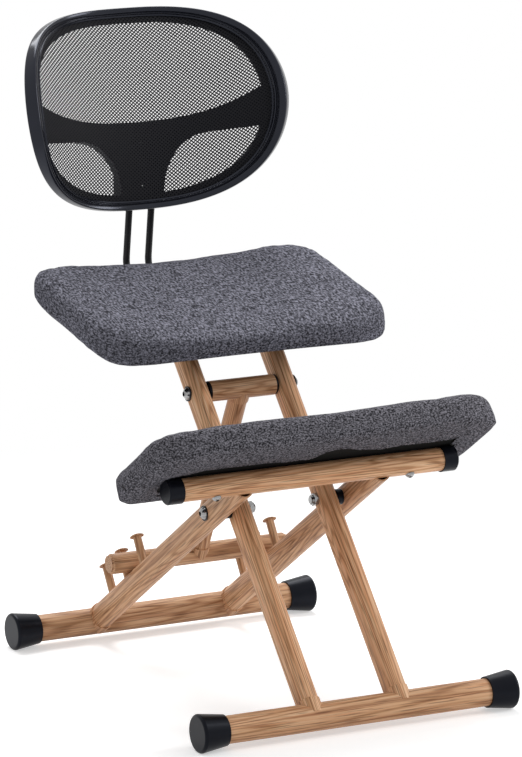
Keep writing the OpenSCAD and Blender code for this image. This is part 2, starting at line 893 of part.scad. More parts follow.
// Moulded cover behind the frame stem that takes the screws
module back_bracket() {
    placed(black)
        difference() {
            difference() {
                translate([0, bracket_back_y, bracket_z])
                    rotate([90, 0, 0])
                        linear_extrude(2 * bracket_d)
                            bracket_outline();
                back_place()
                    for (v = screw_v)
                        translate([0, back_screw_start(v) + back_screw_l + seat_gap, v])
                            rotate([90, 0, 0])
                                cylinder(d = back_screw_d + 2 * run_gap, h = 3 * bracket_d);
            }
            back_place()
                back_layer(-2 * bracket_d, frame_back_w + seat_gap);
        }
}

// Thin mesh sheet, drawn as rings on the back surface
mesh_rings = 6;
mesh_steps = 48;
module back_mesh() {
    function on_sheet(f, a, depth) =
        let (q = back_inset(rim_at(a) + soft_gap, a) * f)
        back_point(q.x, q.y, depth);
    side = mesh_rings * mesh_steps;
    sheet = [for (depth = [mesh_w, mesh_w + mesh_t]) for (r = [1 : mesh_rings]) for (i = [0 : mesh_steps - 1])
        on_sheet(r / mesh_rings, (i + 0.5) * 360 / mesh_steps, depth)];
    mids = [back_point(0, 0, mesh_w), back_point(0, 0, mesh_w + mesh_t)];
    front_mid = len(sheet);
    function at(s, r, i) = s * side + r * mesh_steps + i % mesh_steps;
    last = mesh_rings - 1;
    placed(black)
        back_place()
            polyhedron(concat(sheet, mids), concat(
                [for (i = [0 : mesh_steps - 1]) [front_mid, at(0, 0, i + 1), at(0, 0, i)]],
                [for (i = [0 : mesh_steps - 1]) [front_mid + 1, at(1, 0, i), at(1, 0, i + 1)]],
                [for (r = [0 : last - 1]) for (i = [0 : mesh_steps - 1])
                    [at(0, r, i), at(0, r, i + 1), at(0, r + 1, i + 1)]],
                [for (r = [0 : last - 1]) for (i = [0 : mesh_steps - 1])
                    [at(0, r, i), at(0, r + 1, i + 1), at(0, r + 1, i)]],
                [for (r = [0 : last - 1]) for (i = [0 : mesh_steps - 1])
                    [at(1, r, i), at(1, r + 1, i + 1), at(1, r, i + 1)]],
                [for (r = [0 : last - 1]) for (i = [0 : mesh_steps - 1])
                    [at(1, r, i), at(1, r + 1, i), at(1, r + 1, i + 1)]],
                [for (i = [0 : mesh_steps - 1]) [at(0, last, i), at(0, last, i + 1), at(1, last, i + 1)]],
                [for (i = [0 : mesh_steps - 1]) [at(0, last, i), at(1, last, i + 1), at(1, last, i)]]),
                convexity = 4);
}

// Rim swept along the outline, with its outer edge on the outline and a notch behind for each rod
module back_rim() {
    function at(i, k) = (i % outline_steps) * rim_sides + k % rim_sides;
    placed(black)
        difference() {
            back_place()
                polyhedron(rim_points, concat(
                    [for (i = [0 : outline_steps - 1]) for (k = [0 : rim_sides - 1])
                        [at(i, k), at(i + 1, k), at(i + 1, k + 1)]],
                    [for (i = [0 : outline_steps - 1]) for (k = [0 : rim_sides - 1])
                        [at(i, k), at(i + 1, k + 1), at(i, k + 1)]]), convexity = 6);
            both_sides()
                translate([-rod_x, upright_y, rod_low_z - rim_w])
                    cylinder(d = rod_d + 2 * soft_gap, h = 4 * rim_w);
        }
}

// Strut

module strut_sleeve() {
    placed(wood)
        difference() {
            across(sleeve_at, bar_d, sleeve_l);
            across(sleeve_at, bar_d - 2 * tube_wall, sleeve_l + 1);
        }
}

// Flanged bushes in the sleeve ends that turn on the sleeve bolt
module sleeve_bushings() {
    placed(black)
        both_sides()
            translate([-sleeve_l / 2, sleeve_at.x, sleeve_at.y])
                rotate([0, 90, 0])
                    difference() {
                        union() {
                            translate([0, 0, -flange_t])
                                cylinder(d = bar_d - 2 * bush_step, h = flange_t - run_gap);
                            translate([0, 0, -flange_t])
                                cylinder(d = bar_d - 2 * tube_wall - 2 * seat_gap, h = flange_t + bush_l);
                        }
                        translate([0, 0, -2 * flange_t])
                            cylinder(d = bolt_d + 2 * run_gap, h = sleeve_l);
                    }
}

module strut_post() {
    placed(wood)
        difference() {
            translate([0, sleeve_at.x, sleeve_at.y])
                rotate([180 + post_angle, 0, 0])
                    difference() {
                        union() {
                            cylinder(d = post_d, h = post_run);
                            cylinder(d = post_d + weld, h = bar_d / 2 + weld);
                            translate([0, 0, post_run - bar_d / 2 - weld])
                                cylinder(d = post_d + weld, h = bar_d / 2 + weld);
                        }
                        translate([0, 0, -1])
                            cylinder(d = post_d - 2 * tube_wall, h = post_run + 2);
                    }
            across(sleeve_at, bar_d + 2 * run_gap, crossbar_length);
            across(bar_at, bar_d + 2 * run_gap, crossbar_length);
        }
}

module strut_crossbar() {
    placed(wood)
        difference() {
            across(bar_at, bar_d, crossbar_length - 2 * plug_t);
            across(bar_at, bar_d - 2 * tube_wall, crossbar_length);
        }
}

// Chamfered plugs that close the crossbar ends
module crossbar_plugs() {
    placed(wood)
        both_sides()
            translate([-crossbar_length / 2, bar_at.x, bar_at.y])
                rotate([0, 90, 0])
                    union() {
                        cylinder(d1 = bar_d - 2 * plug_chamfer, d2 = bar_d, h = plug_t - run_gap);
                        cylinder(d = bar_d - 2 * tube_wall - 2 * seat_gap, h = plug_t + plug_reach);
                    }
}

// Pivot and sleeve fasteners

module pivot_bolts() {
    placed(steel)
        both_sides()
            translate([-rear_x - leg_w / 2 - washer_t - 2 * run_gap, pivot_y, pivot_z])
                rotate([0, 90, 0])
                    domed_bolt(bolt_d, rear_x - long_x + leg_w + washer_t + nut_h + bolt_tip,
                        bolt_head_d, bolt_head_h, socket_af);
}

module washers(x, at) {
    both_sides()
        translate([-x - washer_t - run_gap, at.x, at.y])
            rotate([0, 90, 0])
                difference() {
                    cylinder(d = washer_d, h = washer_t);
                    translate([0, 0, -1])
                        cylinder(d = bolt_d + 2 * run_gap, h = washer_t + 2);
                }
}

module pivot_spacers() {
    placed(black)
        both_sides()
            translate([-long_x - leg_w / 2 - soft_gap - spacer_l, pivot_y, pivot_z])
                rotate([0, 90, 0])
                    difference() {
                        cylinder(d = spacer_d, h = spacer_l);
                        translate([0, 0, -1])
                            cylinder(d = bolt_d + 2 * run_gap, h = spacer_l + 2);
                    }
}

module pivot_nuts() {
    placed(steel)
        both_sides()
            translate([-long_x + leg_w / 2 + soft_gap, pivot_y, pivot_z])
                rotate([0, 90, 0])
                    difference() {
                        union() {
                            cylinder(d = nut_af / cos(30), h = nut_h - nut_collar, $fn = 6);
                            cylinder(d = nut_af - nut_collar, h = nut_h);
                        }
                        translate([0, 0, -1])
                            cylinder(d = bolt_d + 2 * run_gap, h = nut_h + 2);
                    }
}

// One long bolt with a domed head screwed on each end
module sleeve_bolt() {
    reach = long_x + leg_w / 2 + washer_t + 2 * run_gap;
    placed(steel)
        both_sides()
            translate([-reach, sleeve_at.x, sleeve_at.y])
                rotate([0, 90, 0])
                    domed_bolt(bolt_d, reach + joint_overlap, bolt_head_d, bolt_head_h, socket_af);
}

// Sub-parts that share a shape

module front_foot_tube()
    placed(wood)
        foot_tube(0);

module front_foot_cap_left()
    placed(black)
        foot_cap(0);

module front_foot_cap_right()
    placed(black)
        mirror([1, 0, 0])
            foot_cap(0);

module long_leg_left()
    placed(wood)
        long_leg();

module long_leg_right()
    placed(wood)
        mirror([1, 0, 0])
            long_leg();

module seat_rail_left()
    placed(black)
        seat_rail();

module seat_rail_right()
    placed(black)
        mirror([1, 0, 0])
            seat_rail();

module back_rod_left()
    placed(black)
        back_rod();

module back_rod_right()
    placed(black)
        mirror([1, 0, 0])
            back_rod();

module sleeve_washers()
    placed(black)
        washers(long_x + leg_w / 2, sleeve_at);

module rear_foot_tube()
    placed(wood)
        foot_tube(base_length);

module rear_foot_cap_left()
    placed(black)
        foot_cap(base_length);

module rear_foot_cap_right()
    placed(black)
        mirror([1, 0, 0])
            foot_cap(base_length);

module rear_leg_left()
    placed(wood)
        rear_leg();

module rear_leg_right()
    placed(wood)
        mirror([1, 0, 0])
            rear_leg();

module pegs_left()
    placed(wood)
        pegs();

module pegs_right()
    placed(wood)
        mirror([1, 0, 0])
            pegs();

module knee_tube_cap_left()
    placed(black)
        knee_tube_cap();

module knee_tube_cap_right()
    placed(black)
        mirror([1, 0, 0])
            knee_tube_cap();

module pivot_washers()
    placed(black)
        washers(rear_x + leg_w / 2, [pivot_y, pivot_z]);

front_foot_tube();
front_foot_cap_left();
front_foot_cap_right();
long_leg_left();
long_leg_right();
seat_rail_left();
seat_rail_right();
seat_screws();
seat_board();
seat_dust_cover();
seat_cushion();
rod_clamp();
rod_clamp_screws();
back_rod_left();
back_rod_right();
back_bracket();
back_frame();
back_screws();
back_mesh();
back_rim();
sleeve_bolt();
sleeve_washers();
rear_foot_tube();
rear_foot_cap_left();
rear_foot_cap_right();
rear_leg_left();
rear_leg_right();
pegs_left();
pegs_right();
knee_tube();
knee_tube_cap_left();
knee_tube_cap_right();
knee_bolts();
knee_board();
knee_dust_cover();
knee_cushion();
pivot_bolts();
pivot_washers();
pivot_spacers();
pivot_nuts();
strut_sleeve();
sleeve_bushings();
strut_post();
strut_crossbar();
crossbar_plugs();
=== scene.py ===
import json
import math
from collections import namedtuple

import bmesh
import bpy
from mathutils import Matrix, Vector, bvhtree, geometry, kdtree, noise

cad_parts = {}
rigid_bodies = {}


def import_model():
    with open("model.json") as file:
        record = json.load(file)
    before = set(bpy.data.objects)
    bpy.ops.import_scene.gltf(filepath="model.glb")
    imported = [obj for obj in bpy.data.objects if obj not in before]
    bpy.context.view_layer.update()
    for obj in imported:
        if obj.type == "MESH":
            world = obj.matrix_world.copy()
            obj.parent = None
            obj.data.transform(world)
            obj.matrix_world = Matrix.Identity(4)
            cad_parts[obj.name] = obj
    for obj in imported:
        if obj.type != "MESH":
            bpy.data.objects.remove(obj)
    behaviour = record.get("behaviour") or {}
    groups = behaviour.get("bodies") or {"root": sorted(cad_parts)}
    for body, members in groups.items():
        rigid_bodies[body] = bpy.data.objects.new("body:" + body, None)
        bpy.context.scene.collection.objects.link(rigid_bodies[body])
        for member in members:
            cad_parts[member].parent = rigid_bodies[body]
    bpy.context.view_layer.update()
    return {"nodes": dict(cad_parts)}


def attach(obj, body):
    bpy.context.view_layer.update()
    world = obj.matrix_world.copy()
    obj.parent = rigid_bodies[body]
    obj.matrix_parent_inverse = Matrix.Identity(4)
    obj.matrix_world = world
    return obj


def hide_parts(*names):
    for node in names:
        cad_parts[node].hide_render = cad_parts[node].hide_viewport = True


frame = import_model()
NODES = frame["nodes"]

# Sizes and places are in mm unless a comment says otherwise, and Y starts at the front foot
MM = 0.001
MID = 345.959  # middle of the chair along Y
LONG_LEG_SLOPE, REAR_LEG_SLOPE = 48.145, -33.04  # degrees
SLEEVE_Y, SLEEVE_Z = 338.775, 404.167
CROSSBAR_Y, CROSSBAR_Z = 472.32, 138.361


# Camera at the photograph's viewing angle

CAMERA_TURN, CAMERA_DROP = 27.56, 12.25  # degrees
AIM_X, AIM_Y, AIM_Z = 0.1, 277.6, 429.3
CAMERA_REACH = 7.0013  # metres from what it aims at
FOCAL_PIXELS, PHOTO_HEIGHT = 5099.7, 757
SENSOR = 36


def add_camera():
    turn, drop = math.radians(CAMERA_TURN), math.radians(CAMERA_DROP)
    away = Vector((math.sin(turn) * math.cos(drop), math.cos(turn) * math.cos(drop), -math.sin(drop)))
    right = Vector((math.cos(turn), -math.sin(turn), 0))
    up = right.cross(away)
    aim = Vector((AIM_X, AIM_Y - MID, AIM_Z)) * MM
    cam = bpy.data.cameras.new("camera")
    cam.sensor_fit = "VERTICAL"
    cam.sensor_height = SENSOR
    cam.lens = SENSOR * FOCAL_PIXELS / PHOTO_HEIGHT
    cam.clip_end = 100
    obj = bpy.data.objects.new("camera", cam)
    basis = Matrix((right, up, -away)).transposed().to_4x4()
    obj.matrix_world = Matrix.Translation(aim - away * CAMERA_REACH) @ basis
    bpy.context.collection.objects.link(obj)
    bpy.context.scene.camera = obj


# Materials

class Nodes:
    """Short hand for building the node tree of a material or a world."""

    def __init__(self, owner, output):
        owner.use_nodes = True
        self.owner = owner
        self.tree = owner.node_tree
        self.tree.nodes.clear()
        self.out = self.add(output)

    def add(self, kind, **values):
        node = self.tree.nodes.new(kind)
        for key, value in values.items():
            setattr(node, key, value)
        return node

    def link(self, a, b):
        self.tree.links.new(a, b)

    def feed(self, node, sockets):
        for key, value in sockets.items():
            if isinstance(value, bpy.types.NodeSocket):
                self.link(value, node.inputs[key])
            else:
                node.inputs[key].default_value = value

    def math(self, op, a, b=0.0, c=0.0):
        node = self.add("ShaderNodeMath", operation=op)
        self.feed(node, {0: a, 1: b, 2: c})
        return node.outputs[0]

    def coords(self, rotation=(0, 0, 0), scale=(1, 1, 1)):
        place = self.add("ShaderNodeTexCoord").outputs["Object"]
        turn = self.add("ShaderNodeMapping", vector_type="POINT")
        self.feed(turn, {"Vector": place, "Rotation": rotation})
        return self.stretch(turn.outputs[0], scale)

    def stretch(self, vector, scale, shift=(0, 0, 0)):
        node = self.add("ShaderNodeMapping", vector_type="POINT")
        self.feed(node, {"Vector": vector, "Scale": scale, "Location": shift})
        return node.outputs[0]

    def noise(self, vector, scale, detail, rough, distort=0.0):
        node = self.add("ShaderNodeTexNoise")
        self.feed(node, {"Vector": vector, "Scale": scale, "Detail": detail, "Roughness": rough,
                         "Distortion": distort})
        return node.outputs["Fac"]

    def ramp(self, fac, stops):
        node = self.add("ShaderNodeValToRGB")
        spots = node.color_ramp.elements
        while len(spots) < len(stops):
            spots.new(0.5)
        for spot, (at, shade) in zip(spots, stops):
            spot.position = at
            spot.color = (*shade, 1)
        self.link(fac, node.inputs[0])
        return node.outputs[0]

    def mix(self, fac, a, b, blend):
        node = self.add("ShaderNodeMix", data_type="RGBA", blend_type=blend)
        self.feed(node, {0: fac, 6: a, 7: b})
        return node.outputs[2]

    def span(self, fac, low, high):
        node = self.add("ShaderNodeMapRange")
        self.feed(node, {0: fac, 3: low, 4: high})
        return node.outputs[0]

    def bump(self, height, strength, distance):
        node = self.add("ShaderNodeBump")
        self.feed(node, {"Height": height, "Strength": strength, "Distance": distance})
        return node.outputs[0]

    def surface(self, **sockets):
        shader = self.add("ShaderNodeBsdfPrincipled")
        self.feed(shader, {key.replace("_", " "): value for key, value in sockets.items()})
        self.link(shader.outputs[0], self.out.inputs[0])
        return self.owner


def new_material(name):
    return Nodes(bpy.data.materials.new(name), "ShaderNodeOutputMaterial")


def along(axis):
    """Euler angles that turn an axis onto X."""
    x = Vector(axis).normalized()
    side = Vector((0, 0, 1)) if abs(x.z) < 0.9 else Vector((0, 1, 0))
    y = side.cross(x).normalized()
    return Matrix((x, y, x.cross(y))).to_euler("XYZ")


def grey(v):
    return (v, v, v)


def scaled(shade, factor):
    return tuple(c * factor for c in shade)


FILM_SHADES = [(0.0, (0.460, 0.230, 0.110)), (0.30, (0.640, 0.355, 0.190)), (1.0, (0.730, 0.430, 0.246))]


def wood_film(name, axis, shift, depth):
    """Satin oak-print film: rings and fine streaks along the tube, and dark pores. Its depth scales all its
    colours up as painted light or down as painted shade.
    """
    n = new_material(name)
    grain = n.coords(along(axis))
    drift = n.noise(n.stretch(grain, (1.3, 23, 23), (shift, 0, 0)), 1.0, 1.5, 0.45, 0.2)
    rings = n.math("SINE", n.math("MULTIPLY", drift, 190.0))
    bands = n.math("MULTIPLY_ADD", rings, 0.5, 0.5)
    streaks = n.noise(n.stretch(grain, (9, 380, 380), (shift, 0, 0)), 1.0, 3.0, 0.65)
    pores = n.noise(n.stretch(grain, (20, 620, 620), (0, shift, 0)), 1.0, 1.0, 0.5)
    tone = n.noise(n.stretch(grain, (2.0, 14, 14), (0, shift, 0)), 1.0, 1.0, 0.5)
    # depth above 1 is painted light and below 1 is painted shade, over the whole film
    film = n.ramp(bands, [(at, scaled(shade, depth)) for at, shade in FILM_SHADES])
    film = n.mix(0.85, film, n.ramp(streaks, [(0.36, grey(0.27)), (0.64, grey(0.70))]), "SOFT_LIGHT")
    film = n.mix(0.35, film, n.ramp(tone, [(0.3, (0.40, 0.38, 0.36)), (0.7, grey(0.62))]), "SOFT_LIGHT")
    film = n.mix(0.62, film, n.ramp(pores, [(0.32, (0.26, 0.20, 0.16)), (0.46, grey(1.0))]), "MULTIPLY")
    return n.surface(Base_Color=film, Roughness=n.span(streaks, 0.40, 0.52), Specular_IOR_Level=0.26,
                     Normal=n.bump(pores, 0.12, 0.0003))


def black_moulding(name, shade, rough, gloss, grain_scale, bump):
    """Moulded black plastic with a fine spark-eroded grain and slightly uneven gloss."""
    n = new_material(name)
    place = n.coords()
    fine = n.noise(place, grain_scale, 2.0, 0.5)
    broad = n.noise(place, 24.0, 2.0, 0.5)
    tint = n.ramp(broad, [(0.3, scaled(shade, 0.8)), (0.7, scaled(shade, 1.25))])
    return n.surface(Base_Color=tint, Roughness=n.span(broad, rough * 0.85, rough * 1.15),
                     Specular_IOR_Level=gloss, Specular_Tint=(0.78, 0.83, 1.0, 1.0),
                     Normal=n.bump(fine, bump, 0.0002))


def bright_steel(name):
    """Plated steel with fine scratches."""
    n = new_material(name)
    scratch = n.noise(n.coords(scale=(900, 900, 200)), 1.0, 2.0, 0.5)
    return n.surface(Base_Color=n.ramp(scratch, [(0.3, grey(0.24)), (0.7, grey(0.36))]), Metallic=1.0,
                     Roughness=n.span(scratch, 0.10, 0.20), Normal=n.bump(scratch, 0.05, 0.0001))


def black_steel(name):
    """Black powder coat with a light orange peel."""
    n = new_material(name)
    orange_peel = n.noise(n.coords(), 900.0, 1.0, 0.5)
    broad = n.noise(n.coords(), 30.0, 2.0, 0.5)
    tint = n.ramp(broad, [(0.3, (0.004, 0.004, 0.005)), (0.7, (0.008, 0.008, 0.010))])
    return n.surface(Base_Color=tint, Specular_IOR_Level=0.22, Roughness=n.span(broad, 0.30, 0.42),
                     Normal=n.bump(orange_peel, 0.15, 0.0002))


def linen(name, dark, light, grain):
    """Grey melange linen: slubs of light and dark fibre that run with the threads."""
    n = new_material(name)
    place = n.coords()
    slubs = n.noise(n.stretch(place, grain), 1.0, 1.0, 0.5)
    across = n.noise(n.stretch(place, (grain[1], grain[0], grain[2]), (3, 5, 7)), 1.5, 1.0, 0.5)
    cloudy = n.noise(place, 11.0, 2.0, 0.5)
    value = n.math("ADD", n.math("MULTIPLY", slubs, 0.68), n.math("MULTIPLY", across, 0.32))
    middle = tuple(a + 0.36 * (b - a) for a, b in zip(dark, light))
    tint = n.ramp(value, [(0.37, dark), (0.50, middle), (0.64, light)])
    tint = n.mix(0.40, tint, n.ramp(cloudy, [(0.3, grey(0.42)), (0.7, grey(0.58))]), "SOFT_LIGHT")
    return n.surface(Base_Color=tint, Roughness=0.95, Specular_IOR_Level=0.02,
                     Normal=n.bump(value, 0.5, 0.0012))


def dust_cloth(name):
    """Thin black non-woven cloth."""
    n = new_material(name)
    fibre = n.noise(n.coords(), 700.0, 3.0, 0.6)
    return n.surface(Base_Color=n.ramp(fibre, [(0.3, grey(0.003)), (0.7, grey(0.010))]), Roughness=0.9,
                     Specular_IOR_Level=0.15, Normal=n.bump(fibre, 0.4, 0.0004))


def plywood(name):
    """Pale plywood with its grain across the chair."""
    n = new_material(name)
    grain = n.noise(n.stretch(n.coords(), (8, 160, 160)), 1.0, 3.0, 0.6)
    return n.surface(Base_Color=n.ramp(grain, [(0.3, (0.40, 0.27, 0.15)), (0.7, (0.58, 0.42, 0.26))]),
                     Roughness=n.span(grain, 0.6, 0.75), Normal=n.bump(grain, 0.2, 0.0004))


def net_yarn(name):
    """Black twisted yarn."""
    n = new_material(name)
    twist = n.noise(n.coords(), 1400.0, 1.0, 0.5)
    tint = n.ramp(twist, [(0.3, (0.009, 0.009, 0.011)), (0.7, (0.018, 0.018, 0.022))])
    return n.surface(Base_Color=tint, Specular_IOR_Level=0.15, Roughness=0.6,
                     Normal=n.bump(twist, 0.3, 0.0002))


def paint(material, *names):
    for name in names:
        obj = NODES[name]
        if not obj.material_slots:
            obj.data.materials.append(material)
        for slot in obj.material_slots:
            slot.material = material


def slope(degrees):
    """Direction that rises towards the backrest at an angle."""
    return (0, math.cos(math.radians(degrees)), math.sin(math.radians(degrees)))


def paint_wood():
    """Gives each tube a film that runs along it, with its own stretch of print, made lighter or darker by its
    depth: painted shade on the rear tubes, painted light on the long legs, knee tube and front foot.
    """
    across = (1, 0, 0)
    long_leg, rear_leg, peg = slope(LONG_LEG_SLOPE), slope(REAR_LEG_SLOPE), slope(90 + REAR_LEG_SLOPE)
    post = (0, SLEEVE_Y - CROSSBAR_Y, SLEEVE_Z - CROSSBAR_Z)
    # Fourth column: below 1 is painted shade (rear foot, struts, pegs, post, rear legs), above 1 is painted
    # light (front foot, knee tube, long legs)
    films = [
        ("film_front_foot", across, 0.0, 1.05, ["front_foot_tube"]),
        ("film_rear_foot", across, 1.7, 0.80, ["rear_foot_tube"]),
        ("film_knee_tube", across, 3.1, 1.12, ["knee_tube"]),
        ("film_strut_tubes", across, 4.3, 0.82, ["strut_sleeve", "strut_crossbar", "crossbar_plugs"]),
        ("film_long_left", long_leg, 0.6, 1.18, ["long_leg_left"]),
        ("film_long_right", long_leg, 2.2, 1.12, ["long_leg_right"]),
        ("film_rear_left", rear_leg, 5.2, 0.94, ["rear_leg_left"]),
        ("film_rear_right", rear_leg, 6.4, 0.90, ["rear_leg_right"]),
        ("film_pegs", peg, 7.3, 0.80, ["pegs_left", "pegs_right"]),
        ("film_post", post, 8.1, 0.85, ["strut_post"]),
    ]
    for name, axis, shift, depth, nodes in films:
        paint(wood_film(name, axis, shift, depth), *nodes)


def paint_nodes():
    paint_wood()
    paint(black_moulding("cap_plastic", (0.0045, 0.0050, 0.0075), 0.30, 0.13, 900.0, 0.10),
          "front_foot_cap_left", "front_foot_cap_right", "rear_foot_cap_left", "rear_foot_cap_right",
          "knee_tube_cap_left", "knee_tube_cap_right", "pivot_spacers", "sleeve_bushings")
    paint(black_moulding("frame_plastic", (0.0055, 0.0055, 0.0085), 0.50, 0.12, 700.0, 0.15),
          "back_frame", "back_bracket")
    paint(black_steel("black_paint"), "seat_rail_left", "seat_rail_right", "back_rod_left", "back_rod_right",
          "pivot_washers", "sleeve_washers", "rod_clamp")
    paint(bright_steel("bright_plate"), "seat_screws", "rod_clamp_screws", "back_screws", "sleeve_bolt",
          "knee_bolts", "pivot_bolts", "pivot_nuts")
    paint(dust_cloth("dust_cloth"), "seat_dust_cover", "knee_dust_cover")
    paint(plywood("plywood"), "seat_board", "knee_board")


# Pieces

def smooth(mesh):
    mesh.polygons.foreach_set("use_smooth", [True] * len(mesh.polygons))


def add_mesh(name, verts, faces, material):
    mesh = bpy.data.meshes.new(name)
    mesh.from_pydata([tuple(v) for v in verts], [], faces)
    mesh.update()
    obj = bpy.data.objects.new(name, mesh)
    bpy.context.collection.objects.link(obj)
    mesh.materials.append(material)
    return obj


def piece(name, verts, faces, material, body):
    """Smooth visible piece that rides on a body."""
    obj = add_mesh(name, verts, faces, material)
    smooth(obj.data)
    obj["body"] = body
    return obj


def apply_modifiers(obj):
    bpy.context.view_layer.update()
    seen = obj.evaluated_get(bpy.context.evaluated_depsgraph_get())
    mesh = bpy.data.meshes.new_from_object(seen)
    obj.modifiers.clear()
    old = obj.data
    obj.data = mesh
    bpy.data.meshes.remove(old)


def subdivide(obj):
    mod = obj.modifiers.new("subdivision", "SUBSURF")
    mod.levels = 1
    mod.render_levels = 1
    apply_modifiers(obj)
    smooth(obj.data)


# Backrest surface: u along the curve, v up and w behind the surface

BACK_R, LUMBAR_R = 320.0, 450.0
BACK_W, BACK_H = 443.0, 290.0
BACK_Y, BACK_Z = 656.0, 752.0
BACK_TILT = math.radians(15.2)
RIM_TOP, RIM_SIDE = 11.0, 19.0
END_FULL, TOP_FULL = 2.65, 1.95  # powers of the outline's curve at the ends and at the top


def back_point(u, v, w):
    r = BACK_R + LUMBAR_R - math.sqrt(LUMBAR_R ** 2 - v * v) + w
    x, y = r * math.sin(u / BACK_R), r * math.cos(u / BACK_R) - BACK_R
    return Vector((x, BACK_Y - MID + y * math.cos(BACK_TILT) + v * math.sin(BACK_TILT),
                   BACK_Z - y * math.sin(BACK_TILT) + v * math.cos(BACK_TILT))) * MM


def rim_width(a):
    return RIM_TOP + (RIM_SIDE - RIM_TOP) * math.cos(a) ** 2


def rim_middle(a):
    """Point of the rim's middle line at an angle, as u and v."""
    c, s = math.cos(a), math.sin(a)
    inset = rim_width(a) / 2
    return ((BACK_W / 2 - inset) * math.copysign(abs(c) ** (2 / END_FULL), c),
            (BACK_H / 2 - inset) * math.copysign(abs(s) ** (2 / TOP_FULL), s))


def inside_rim(u, v):
    ends = abs(u / (BACK_W / 2 - RIM_SIDE)) ** END_FULL
    return ends + abs(v / (BACK_H / 2 - RIM_TOP)) ** TOP_FULL < 1


# Section of the rim, from its outer edge over the front and round the back. Each point has its share of the
# half width outwards, mm added to that at the sides, mm behind the rim's middle and its share of the lip.
RIM_PROFILE = [
    (1.0, 0.0, 3.2, 0.0), (1.0, 0.0, 0.4, 0.08), (1.0, 0.0, -2.4, 0.42), (0.98, 0.0, -4.2, 0.78),
    (0.91, 0.0, -5.4, 0.95), (0.76, 0.0, -5.9, 1.0), (0.45, 0.0, -5.9, 1.0), (0.10, 0.0, -5.6, 0.99),
    (-0.20, 0.0, -5.0, 0.96), (-0.40, 0.0, -4.2, 0.92), (-0.48, 0.0, -3.1, 0.86), (-0.56, 0.0, -3.1, 0.86),
    (-0.63, 0.0, -4.3, 0.91), (-0.73, 0.0, -5.1, 0.95), (-0.85, 0.0, -5.0, 0.95), (-0.94, 0.0, -4.0, 0.90),
    (-1.0, -0.4, -3.0, 0.85), (-1.0, -2.2, -2.7, 0.83), (-1.0, -4.6, -2.4, 0.81), (-1.0, -5.0, -1.4, 0.70),
    (-1.0, -4.8, -0.2, 0.40), (-1.0, -3.0, 0.9, 0.0), (-0.96, 0.0, 1.4, 0.0), (-0.85, 0.0, 3.0, 0.0),
    (-0.5, 0.0, 4.8, 0.0), (0.0, 0.0, 5.5, 0.0), (0.5, 0.0, 5.2, 0.0), (0.90, 0.0, 4.4, 0.0)]
RIM_LIP = 9.0  # forward swell of the rim at its sides
RIM_STEPS = 160
RIM_NUDGE = 0.035  # radians to each side that give the rim's direction


def rim(material):
    """Gloss rim: a broad outer roll, a groove, a narrow bead and a flange that holds the net."""
    verts, faces = [], []
    k = len(RIM_PROFILE)

    def centre(a):
        return back_point(*rim_middle(a), 0)

    for i in range(RIM_STEPS):
        a = (i + 0.5) * 2 * math.pi / RIM_STEPS
        behind = (back_point(*rim_middle(a), 1) - centre(a)).normalized()
        path = (centre(a + RIM_NUDGE) - centre(a - RIM_NUDGE)).normalized()
        out = behind.cross(path).normalized()
        deep = path.cross(out)
        half, lip = rim_width(a) / 2, RIM_LIP * math.cos(a) ** 2
        verts += [centre(a) + (out * (x + 2 * more / RIM_SIDE) * half + deep * (y - lip * share)) * MM
                  for x, more, y, share in RIM_PROFILE]
    for i in range(RIM_STEPS):
        for j in range(k):
            p, q = i * k, (i + 1) % RIM_STEPS * k
            faces.append((p + j, q + j, q + (j + 1) % k, p + (j + 1) % k))
    obj = piece("back_rim_moulding", verts, faces, material, "seat_frame")
    subdivide(obj)
    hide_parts("back_rim")


NET_BEHIND = 1.9  # depth of the net behind the backrest surface
NET_PITCH_U, NET_PITCH_V = 5.8, 5.0  # diagonals of a diamond
NET_HOLE = 0.53  # share of a diamond's diagonals that is open
NET_ROUND = 0.25  # step forward of the yarn round a hole
NET_TUCK = 1  # width and height of the net past its opening, in all
NET_SPARE_U, NET_SPARE_V = 2, 12  # half diamonds searched past the opening
NET_RISE, NET_LEAN, NET_SHIFT = 0.00043, 0.05, 6.0  # the rows' curve up to the wings, slope and step down


def net(material):
    """Stretched net with real diamond holes, its rows pulled up towards the wings."""
    w, h = BACK_W - 2 * RIM_SIDE + NET_TUCK, BACK_H - 2 * RIM_TOP + NET_TUCK
    corners, verts, faces = {}, [], []

    def spot(i, j):
        u = i * NET_PITCH_U / 2
        return u, j * NET_PITCH_V / 2 + NET_RISE * u * u - NET_LEAN * u - NET_SHIFT

    def corner(i, j):
        if (i, j) not in corners:
            corners[i, j] = len(verts)
            verts.append(back_point(*spot(i, j), NET_BEHIND))
        return corners[i, j]

    reach_i, reach_j = int(w / NET_PITCH_U) + NET_SPARE_U, int(h / NET_PITCH_V) + NET_SPARE_V
    for j in range(-reach_j, reach_j + 1):
        for i in range(-reach_i, reach_i + 1):
            if (i + j) % 2 or not inside_rim(*spot(i, j)):
                continue
            ring = [corner(i + 1, j), corner(i, j + 1), corner(i - 1, j), corner(i, j - 1)]
            inner = []
            for di, dj in ((1, 0), (0, 1), (-1, 0), (0, -1)):
                inner.append(len(verts))
                hole = spot(i + di * NET_HOLE, j + dj * NET_HOLE)
                verts.append(back_point(*hole, NET_BEHIND - NET_ROUND))
            for m in range(4):
                faces.append((ring[m], ring[(m + 1) % 4], inner[(m + 1) % 4], inner[m]))
    obj = piece("back_net", verts, faces, material, "seat_frame")
    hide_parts("back_mesh")


# Cushions, each in its own frame: X across, Y to the rear, Z up from its flat underside

# Plan: hollow of the front, rear and ends at their middles, and reach of the rear corners
Plan = namedtuple("Plan", "width depth front rear ends tails")
# Edge: height, and how far the side rounds in below and above
Edge = namedtuple("Edge", "height low high")
# Pad: rise of its middle (crown) and ends (dish), droop of its front corners (sag), rise of its left and
# right end (lean), draw of its ends below (tuck), random swells, and bulge of the hem at the same two ends
Pad = namedtuple(
    "Pad", "name node body place plan edge crown dish sag lean tuck folds swell raw_edge bulge fill")


